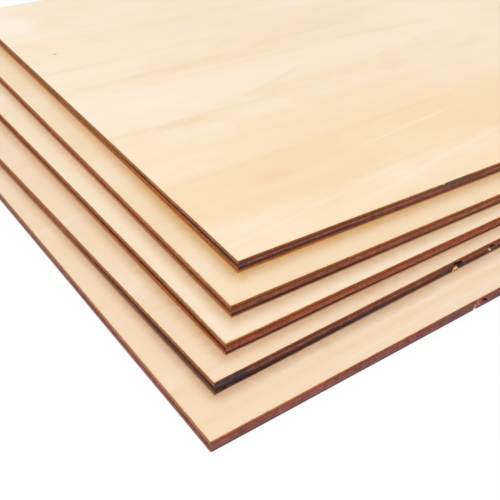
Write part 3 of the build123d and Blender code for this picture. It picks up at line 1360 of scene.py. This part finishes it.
    def add_marks(self, colour: Value, figure: Figure) -> Value:
        """Draw the small dark pin marks on the face.

        Args:
            colour: The veneer so far.
            figure: The features.

        Returns:
            The veneer with the marks on it.
        """
        g = self.graph
        for along, across in figure.marks:
            off_x = (self.x - along) * 0.55
            off_y = self.y - across
            reach = g.maths("SQRT", off_x * off_x + off_y * off_y)
            shape = reach + self.waves(VENEER_GRAIN.pin) * 0.25
            colour = g.mix(g.ease(shape, 0.6, 0.1) * 0.75, colour, WOOD.mark)
        return colour

    def add_foot_shade(self, colour: Value) -> Value:
        """Paint warm contact shade and a thin shadow line with some soot along the foot of the sheet above.

        Args:
            colour: The veneer so far.

        Returns:
            The veneer with the painted shade on it.
        """
        g, foot_shade = self.graph, self.look.foot_shade
        above_x, above_y, _ = self.sheet_place(self.lay_above)
        off_long = g.larger(0.0 - above_y, above_y - SIZE.width)
        off_short = g.larger(0.0 - above_x, above_x - SIZE.length)
        frayed = self.waves(VENEER_GRAIN.fray)
        past_long = g.ease(off_long + frayed * 0.7, foot_shade.long_reach, -0.3)
        past_short = g.ease(off_short + frayed * 0.7, foot_shade.short_reach, -0.3)
        on_short = g.ease(off_short - off_long, -0.2, 0.2)
        blotches = self.waves(VENEER_GRAIN.blotches)
        long_fading = g.ease(above_x, 35.0, 70.0) * 0.2
        short_fading = g.ease(above_y, 15.0, 85.0) * 0.3
        fading = (1.0 - long_fading - on_short * (short_fading - long_fading)) * (0.97 + blotches * 0.22)
        # Painted warm contact shade, strongest next to the sheet above and fading outwards
        share = g.clip(past_long * past_short * fading) * foot_shade.strength
        foot_shade_tone = g.mix(on_short, foot_shade.long_tone, foot_shade.short_tone)
        colour = g.mix(share, colour, g.dim(foot_shade_tone, 1.0 + frayed * 0.08))
        # Painted thin contact shadow line, with some soot, right at the foot of the sheet above
        off = g.larger(off_long, off_short) + frayed * 0.12
        kept = 1.0 - g.ease(above_x, 10.0, 40.0) * foot_shade.soot_and_shadow_fade
        long_soot_and_shadow = g.ease(off, 0.5, 0.1) * kept * foot_shade.long_soot_and_shadow
        short_kept = 1.0 - g.ease(above_y, 10.0, 80.0) * 0.55
        short_soot_and_shadow = g.ease(off, 0.5, 0.05) * short_kept * foot_shade.short_soot_and_shadow
        soot_and_shadow_tone = g.mix(on_short, foot_shade.long_soot_and_shadow_tone, foot_shade.short_soot_and_shadow_tone)
        return g.mix(long_soot_and_shadow + on_short * (short_soot_and_shadow - long_soot_and_shadow), colour, soot_and_shadow_tone)


@dataclass(frozen=True)
class BurnRelief:
    """The relief that the laser left on every edge: its waves, and how deep they go, in millimetres."""

    swell: Waves = Waves(23.0, 23.0)
    ripple: Waves = Waves(0.8, 0.8, 4.0)
    core_burn: Waves = Waves(2.1, 2.1, 0.9)
    core_pits: Waves = Waves(1.3, 1.3, 0.6)
    chips: Waves = Waves(1.7, 1.7, 0.5)
    mean_depth: float = 0.02
    swell_depth: float = 0.02
    ripple_depth: float = 0.012
    core_depth: float = 0.05
    core_burn_depth: float = 0.06
    pit_onset: float = 0.45
    pit_depth: float = 0.7
    chip_onset: float = 0.5
    chip_depth: float = 0.4


BURN_RELIEF = BurnRelief()
# Across a gap from side to side, its depth as a share of the whole, as the solids have it
GAP_OUTLINE = ((-1.0, 0.0), (-0.6, 0.6), (0.1, 1.0), (0.8, 0.4), (1.0, 0.0))


@dataclass
class CutPly:
    """One ply as a mesh, with the relief that the laser left on its edge, in the sheet's own millimetres."""

    kind: PlyKind
    number: int
    lay: Lay
    seed: float
    spacing: float = 0.5
    flaw_cuts: int = 3
    flaw_margin: float = 1.4
    corner_segments: int = 5
    arris_segments: int = 3
    veneer_rows: int = 4
    burnt_rows: int = 6
    smooth_angle: float = 38.0

    def build(self, material: bpy.types.Material) -> bpy.types.Object:
        """Build the ply and put it in its place.

        Args:
            material: The ply's finish.

        Returns:
            The piece, riding on the part's body.
        """
        self.bm = bmesh.new()
        rim = self.draw_rim()
        foot, head = self.raise_wall(rim)
        self.close(foot, head)
        self.burn()
        self.mark_sharp_edges()
        self.bm.transform(self.lay.matrix)
        piece = add_object(self.bm, f"sheet_{self.number}_{self.kind.value}_cut", material)
        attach(piece, "root")
        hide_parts(f"sheet_{self.number}_{self.kind.value}")
        return piece

    def draw_rim(self) -> list[bmesh.types.BMEdge]:
        """Draw the sheet's outline at the ply's underside, divided finely, and finer at the flaws.

        Returns:
            The outline's edges.
        """
        bm = self.bm
        bottom, _ = SIZE.span(self.kind)
        bmesh.ops.create_grid(bm, x_segments=1, y_segments=1, size=0.5)
        bmesh.ops.translate(bm, vec=(0.5, 0.5, 0.0), verts=bm.verts)
        bmesh.ops.scale(bm, vec=(SIZE.length, SIZE.width, 1.0), verts=bm.verts)
        bmesh.ops.translate(bm, vec=(0.0, 0.0, bottom), verts=bm.verts)
        bmesh.ops.bevel(
            bm,
            geom=bm.verts[:],
            affect="VERTICES",
            offset=SIZE.corner_radius,
            segments=self.corner_segments,
            profile=0.5,
            material=-1,
        )
        bmesh.ops.delete(bm, geom=bm.faces[:], context="FACES_ONLY")
        for side in [edge for edge in bm.edges if edge.calc_length() > 2 * SIZE.corner_radius]:
            cuts = round(side.calc_length() / self.spacing) - 1
            bmesh.ops.subdivide_edges(bm, edges=[side], cuts=cuts)
        flawed = [edge for edge in bm.edges if self.near_flaw(edge)]
        bmesh.ops.subdivide_edges(bm, edges=flawed, cuts=self.flaw_cuts)
        return bm.edges[:]

    def near_flaw(self, edge: bmesh.types.BMEdge) -> bool:
        """Tell whether an edge of the outline lies at a gap or a notch.

        Args:
            edge: The edge.

        Returns:
            Whether it does.
        """
        middle = (edge.verts[0].co + edge.verts[1].co) / 2
        flaws = CORE_GAPS.get(self.number, ()) + TORN_NOTCHES.get(self.number, ())
        reaches = [abs(middle.x - flaw.along) - flaw.width / 2 - self.flaw_margin for flaw in flaws]
        return middle.y < SIZE.corner_radius and any(reach < 0 for reach in reaches)

    def raise_wall(
        self, rim: list[bmesh.types.BMEdge]
    ) -> tuple[list[bmesh.types.BMEdge], list[bmesh.types.BMEdge]]:
        """Extrude the outline through the ply's thickness, row by row.

        Args:
            rim: The outline at the underside.

        Returns:
            The lowest and the highest loop of edges.
        """
        bottom, top = SIZE.span(self.kind)
        rows = self.veneer_rows if self.kind is PlyKind.FACE else self.burnt_rows
        step = (top - bottom) / rows
        loop = rim
        for _ in range(rows):
            raised = bmesh.ops.extrude_edge_only(self.bm, edges=loop)["geom"]
            verts = {item for item in raised if isinstance(item, bmesh.types.BMVert)}
            bmesh.ops.translate(self.bm, vec=(0.0, 0.0, step), verts=list(verts))
            edges = [item for item in raised if isinstance(item, bmesh.types.BMEdge)]
            loop = [edge for edge in edges if all(vert in verts for vert in edge.verts)]
        return rim, loop

    def close(self, foot: list[bmesh.types.BMEdge], head: list[bmesh.types.BMEdge]) -> None:
        """Close the ply below and above, and soften the arrises that the solids have softened.

        Args:
            foot: The lowest loop of edges.
            head: The highest loop of edges.
        """
        bm = self.bm
        bmesh.ops.edgeloop_fill(bm, edges=foot)
        bmesh.ops.edgeloop_fill(bm, edges=head)
        if self.kind is PlyKind.FACE:
            self.soften(head, SIZE.face_arris_radius, self.arris_segments)
        if self.kind is PlyKind.BACK:
            self.soften(foot, SIZE.back_arris_bevel, 1)
        bmesh.ops.recalc_face_normals(bm, faces=bm.faces[:])

    def soften(self, loop: list[bmesh.types.BMEdge], reach: float, segments: int) -> None:
        """Round or bevel one arris.

        Args:
            loop: The arris's edges.
            reach: How far the rounding or bevel reaches from the arris.
            segments: How many strips of faces it has. One strip is a bevel.
        """
        bmesh.ops.bevel(
            self.bm,
            geom=loop,
            affect="EDGES",
            offset=reach,
            segments=segments,
            profile=0.5,
            material=-1,
            clamp_overlap=False,
        )

    def burn(self) -> None:
        """Lean the edge and eat the laser's relief, the core gaps and the torn notches into it."""
        radius = SIZE.corner_radius
        for vert in self.bm.verts:
            x, y, z = vert.co
            hub = Vector((
                min(max(x, radius), SIZE.length - radius),
                min(max(y, radius), SIZE.width - radius),
                z,
            ))
            outwards = (vert.co - hub).normalized()
            inset = SIZE.edge_lean * z / SIZE.thickness + self.relief(x, y, z)
            if y < radius:
                inset += self.flaw_depth(x, z)
            vert.co -= outwards * inset

    def relief(self, x: float, y: float, z: float) -> float:
        """Work out how deep the laser has eaten in at a place on the edge.

        Args:
            x: The place along the sheet.
            y: The place across it.
            z: The place above its underside.

        Returns:
            The depth, which is never less than nothing.
        """

        def waves(pattern: Waves, seed: float) -> float:
            """The noise of a pattern at this place."""
            level = seed if pattern.up is None else z / pattern.up + seed
            return noise.noise(Vector((x / pattern.along, y / pattern.across, level)))

        cut = BURN_RELIEF
        depth = cut.mean_depth + cut.swell_depth * waves(cut.swell, self.seed)
        depth += cut.ripple_depth * waves(cut.ripple, self.seed)
        if self.kind is PlyKind.CORE:
            burn = SIZE.core_burn_back + cut.core_depth + cut.core_burn_depth * waves(cut.core_burn, self.seed)
            pit = max(0.0, waves(cut.core_pits, -self.seed) - cut.pit_onset)
            depth += burn + pit * cut.pit_depth
        elif self.kind is PlyKind.BACK:
            chip = max(0.0, waves(cut.chips, -self.seed) - cut.chip_onset)
            depth += chip * cut.chip_depth * (1.0 - z / SIZE.veneer)
        return max(depth, 0.0)

    def flaw_depth(self, x: float, z: float) -> float:
        """Work out how deep a gap or a notch goes at a place on the long near edge.

        Args:
            x: The place along the sheet.
            z: The place above its underside.

        Returns:
            The depth, which is 0 away from the flaws.
        """
        if self.kind is PlyKind.CORE:
            return max((self.gap_depth(gap, x, z) for gap in CORE_GAPS.get(self.number, ())), default=0.0)
        if self.kind is PlyKind.BACK:
            notches = TORN_NOTCHES.get(self.number, ())
            return max((self.notch_depth(notch, x, z) for notch in notches), default=0.0)
        return 0.0

    def gap_depth(self, gap: Break, x: float, z: float) -> float:
        """Work out the depth of a leaning, ragged wedge between two strips of the core.

        Args:
            gap: The gap.
            x: The place along the sheet.
            z: The place above its underside.

        Returns:
            The depth.
        """
        rise = (z - SIZE.veneer) / SIZE.core
        centre = gap.along + GAP_LEAN * (0.5 - rise)
        ragged = 0.12 * noise.noise(Vector((x / 0.5, z / 0.35, self.seed)))
        place = (x - centre) / (gap.width / 2) + ragged
        for (x0, d0), (x1, d1) in zip(GAP_OUTLINE, GAP_OUTLINE[1:]):
            if x0 <= place <= x1:
                return gap.depth * (d0 + (d1 - d0) * (place - x0) / (x1 - x0))
        return 0.0

    def notch_depth(self, notch: Break, x: float, z: float) -> float:
        """Work out the depth of a notch, which is widest and deepest at the underside.

        Args:
            notch: The notch.
            x: The place along the sheet.
            z: The place above its underside.

        Returns:
            The depth.
        """
        roundness = 1.5
        sloping_share = 0.6
        ragged = 0.15 * noise.noise(Vector((x / 0.45, z / 0.3, -self.seed)))
        sideways = abs(x - notch.along) / (notch.width / 2)
        upwards = z / notch.height
        reach = (sideways ** roundness + upwards ** roundness) ** (1 / roundness) + ragged
        return notch.depth * min(max((1.0 - reach) / sloping_share, 0.0), 1.0)

    def mark_sharp_edges(self) -> None:
        """Shade the edge smoothly, apart from its arrises and the rims of the flat faces."""
        for face in self.bm.faces:
            face.smooth = len(face.verts) == 4
        for edge in self.bm.edges:
            flat_side = any(not face.smooth for face in edge.link_faces)
            edge.smooth = not flat_side and edge.calc_face_angle(0.0) < math.radians(self.smooth_angle)


@dataclass
class TornFibres:
    """The pale splinters that are left in one sheet's torn notches."""

    number: int
    lay: Lay
    notches: tuple[Break, ...]
    count: int = 4
    thickness: float = 0.11
    tip_share: float = 0.15
    thin_segments: int = 6
    thick_segments: int = 8
    lowest_notch: float = 0.5
    fibre_scale: tuple[float, float, float] = (900.0, 5000.0, 5000.0)
    singed_span: tuple[float, float] = (0.9, 0.4)
    specular: float = 0.5

    def build(self) -> bpy.types.Object:
        """Build every splinter of the sheet as one piece.

        Returns:
            The piece, riding on the part's body.
        """
        bm = bmesh.new()
        draw = random.Random(self.number)
        for notch in self.notches:
            if notch.height < self.lowest_notch:
                continue
            for index in range(self.count):
                self.add_splinter(bm, notch, index, draw)
        for splinter in HANGING_SPLINTERS.get(self.number, ()):
            self.add_hanging_splinter(bm, splinter)
        bm.transform(self.lay.matrix)
        piece = add_object(bm, f"sheet_{self.number}_torn_fibres", self.material())
        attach(piece, "root")
        return piece

    def add_splinter(self, bm: bmesh.types.BMesh, notch: Break, index: int, draw: random.Random) -> None:
        """Add one tapering splinter that lies along the grain from one side of a notch.

        Args:
            bm: The mesh that it goes into.
            notch: The notch.
            index: Its number in the notch.
            draw: The sheet's random numbers.
        """
        side = -1 if index % 2 else 1
        length = notch.width * draw.uniform(0.3, 0.6)
        deep = 0.14 + draw.uniform(0.05, 0.5) * notch.depth
        high = draw.uniform(0.12, 0.5) * SIZE.veneer
        root_x = notch.along + side * notch.width * 0.36
        turn = Matrix.Rotation(-side * math.radians(90 + draw.uniform(-14, 14)), 4, "Y")
        twist = Matrix.Rotation(math.radians(draw.uniform(-20, 20)), 4, "Z")
        at = Matrix.Translation((root_x - side * length / 2, deep, high))
        radii = (self.thickness, self.thickness * self.tip_share)
        self.add_taper(bm, self.thin_segments, radii, length, at @ twist @ turn)

    def add_hanging_splinter(self, bm: bmesh.types.BMesh, splinter: Splinter) -> None:
        """Add one thick splinter that hangs out of a notch.

        Args:
            bm: The mesh that it goes into.
            splinter: The splinter.
        """
        root = Vector(splinter.root)
        tip = Vector(splinter.tip)
        lean = (tip - root).to_track_quat("Z", "Y").to_matrix().to_4x4()
        place = Matrix.Translation((root + tip) / 2) @ lean
        radii = (splinter.root_radius, splinter.tip_radius)
        self.add_taper(bm, self.thick_segments, radii, (tip - root).length, place)

    def add_taper(
        self,
        bm: bmesh.types.BMesh,
        segments: int,
        radii: tuple[float, float],
        length: float,
        place: Matrix,
    ) -> None:
        """Add a closed taper.

        Args:
            bm: The mesh that it goes into.
            segments: How many sides it has.
            radii: Its radius at the root and at the tip.
            length: Its length.
            place: Where its middle lies, and how it is turned.
        """
        bmesh.ops.create_cone(
            bm,
            cap_ends=True,
            cap_tris=False,
            segments=segments,
            radius1=radii[0],
            radius2=radii[1],
            depth=length,
            matrix=place,
        )

    def material(self) -> bpy.types.Material:
        """Build the finish of torn, slightly scorched wood.

        Returns:
            The material.
        """
        made, g = new_material(f"sheet_{self.number}_torn_wood")
        coordinates = g.output(g.node("ShaderNodeTexCoord"), "Object")
        mapping = g.node("ShaderNodeMapping", None, {"Vector": coordinates, "Scale": self.fibre_scale})
        fibre = g.cloud(g.output(mapping), 2.0, 0.6)
        split = g.node("ShaderNodeSeparateXYZ", None, {"Vector": coordinates})
        height = g.output(split, "Z") / MM - self.lay.base
        wood = g.mix(g.ease(height, *self.singed_span), TORN_WOOD, SINGED_WOOD)
        g.surface(g.dim(wood, 1.0 + fibre * 0.3), 0.7 + fibre * 0.08, fibre * 0.01, self.specular)
        return made


@dataclass
class Sheet:
    """One sheet of the stack with its three plies."""

    number: int
    lay: Lay
    lay_above: Optional[Lay]
    look: SheetLook
    seed_step: float = 100.0

    def build(self) -> list[bpy.types.Object]:
        """Build and dress the plies and the splinters.

        Returns:
            The sheet's pieces.
        """
        pieces = []
        for index, kind in enumerate(PlyKind):
            finish = PlyFinish(kind, self.number, self.look, self.lay, self.lay_above)
            ply = CutPly(kind, self.number, self.lay, self.look.seed + self.seed_step * index)
            pieces.append(ply.build(finish.material()))
        notches = TORN_NOTCHES.get(self.number, ())
        if notches:
            pieces.append(TornFibres(self.number, self.lay, notches).build())
        return pieces


@dataclass
class Studio:
    """A white floor, an even white sky and one large soft lamp overhead."""

    floor_size: float = 6.0
    floor_parts: int = 8
    floor_drop: float = 0.0001
    floor_tone: float = 0.86
    floor_lift: float = 0.8
    sky_strength: float = 0.44
    lamp_size: float = 1.1
    lamp_power: float = 15.3
    lamp_place: tuple[float, float, float] = (-0.45, -0.5, 1.3)

    def build(self) -> None:
        """Set up the floor, the sky, the lamp and the view settings."""
        self.build_floor()
        self.build_sky()
        self.build_lamp()
        bpy.context.scene.view_settings.view_transform = "Standard"

    def seen_directly(self, g: Graph) -> Value:
        """Mask the rays that show the background: camera, glossy and transmission rays.

        Args:
            g: The node tree of the floor or the sky.

        Returns:
            The mask, which is 1 for those rays.
        """
        path = g.node("ShaderNodeLightPath")
        camera = g.output(path, "Is Camera Ray")
        glossy = g.output(path, "Is Glossy Ray")
        transmission = g.output(path, "Is Transmission Ray")
        return g.clip(camera + glossy + transmission)

    def build_floor(self) -> None:
        """Lay a white floor that keeps the object's soft shadow."""
        material, g = new_material("floor_white")
        seen = self.seen_directly(g)
        tone = g.mix(seen, (self.floor_tone,) * 3, WHITE)
        paint = g.node("ShaderNodeBsdfDiffuse", None, {"Color": tone})
        light = g.node("ShaderNodeEmission", None, {"Color": WHITE, "Strength": 1.0})
        sockets = {0: seen * self.floor_lift, 1: g.output(paint), 2: g.output(light)}
        mixed = g.node("ShaderNodeMixShader", None, sockets)
        g.node("ShaderNodeOutputMaterial", None, {"Surface": g.output(mixed)})
        bm = bmesh.new()
        half_size = self.floor_size / 2
        bmesh.ops.create_grid(bm, x_segments=self.floor_parts, y_segments=self.floor_parts, size=half_size)
        floor = add_object(bm, "floor", material)
        floor.location = (0.0, 0.0, -self.floor_drop)

    def build_sky(self) -> None:
        """Surround everything with white that lights softly."""
        world = bpy.data.worlds.new("studio_white")
        bpy.context.scene.world = world
        world.use_nodes = True
        g = Graph(world.node_tree)
        seen = self.seen_directly(g)
        strength = self.sky_strength + seen * (1.0 - self.sky_strength)
        sky = g.node("ShaderNodeBackground", None, {"Color": WHITE, "Strength": strength})
        g.node("ShaderNodeOutputWorld", None, {"Surface": g.output(sky)})

    def build_lamp(self) -> None:
        """Hang the large soft lamp."""
        data = bpy.data.lights.new("soft_lamp", "AREA")
        data.shape = "SQUARE"
        data.size = self.lamp_size
        data.energy = self.lamp_power
        lamp = bpy.data.objects.new("soft_lamp", data)
        lamp.location = self.lamp_place
        lamp.rotation_mode = "QUATERNION"
        lamp.rotation_quaternion = (-Vector(self.lamp_place)).to_track_quat("-Z", "Y")
        bpy.context.scene.collection.objects.link(lamp)


@dataclass
class Viewpoint:
    """The photograph's viewpoint: the camera's place in millimetres, its angles in degrees, its lens and
    sensor in millimetres, and the metres between which it sees.
    """

    place: tuple[float, float, float] = (-198.32, -181.84, 113.25)
    heading: float = 35.024
    dip: float = 35.231
    roll: float = -0.116
    lens: float = 55.09
    sensor: float = 36.0
    clip_start: float = 0.01
    clip_end: float = 20.0

    def build(self) -> bpy.types.Object:
        """Make the scene's camera.

        Returns:
            The camera.
        """
        heading, dip, roll = (math.radians(angle) for angle in (self.heading, self.dip, self.roll))
        ahead = Vector((
            math.sin(heading) * math.cos(dip),
            math.cos(heading) * math.cos(dip),
            -math.sin(dip),
        ))
        level_right = Vector((math.cos(heading), -math.sin(heading), 0.0))
        level_up = level_right.cross(ahead)
        right = math.cos(roll) * level_right + math.sin(roll) * level_up
        up = math.cos(roll) * level_up - math.sin(roll) * level_right
        data = bpy.data.cameras.new("camera")
        data.lens = self.lens
        data.sensor_width = self.sensor
        data.clip_start = self.clip_start
        data.clip_end = self.clip_end
        camera = bpy.data.objects.new("camera", data)
        turn = Matrix((right, up, -ahead)).transposed().to_4x4()
        camera.matrix_world = Matrix.Translation(Vector(self.place) * MM) @ turn
        bpy.context.scene.collection.objects.link(camera)
        bpy.context.scene.camera = camera
        return camera


def main() -> None:
    """Build the stack, the studio and the camera, and report each piece."""
    logging.basicConfig(level=logging.INFO, format="%(message)s")
    camera = Viewpoint().build()
    log.info("camera at %s", tuple(round(c, 4) for c in camera.location))
    Studio().build()
    lays = lays_of_stack()
    for number, lay in enumerate(lays, start=1):
        lay_above = lays[number] if number < len(lays) else None
        for piece in Sheet(number, lay, lay_above, LOOKS[number]).build():
            log.info("%s: %d faces", piece.name, len(piece.data.polygons))


if __name__ == "__main__":
    main()
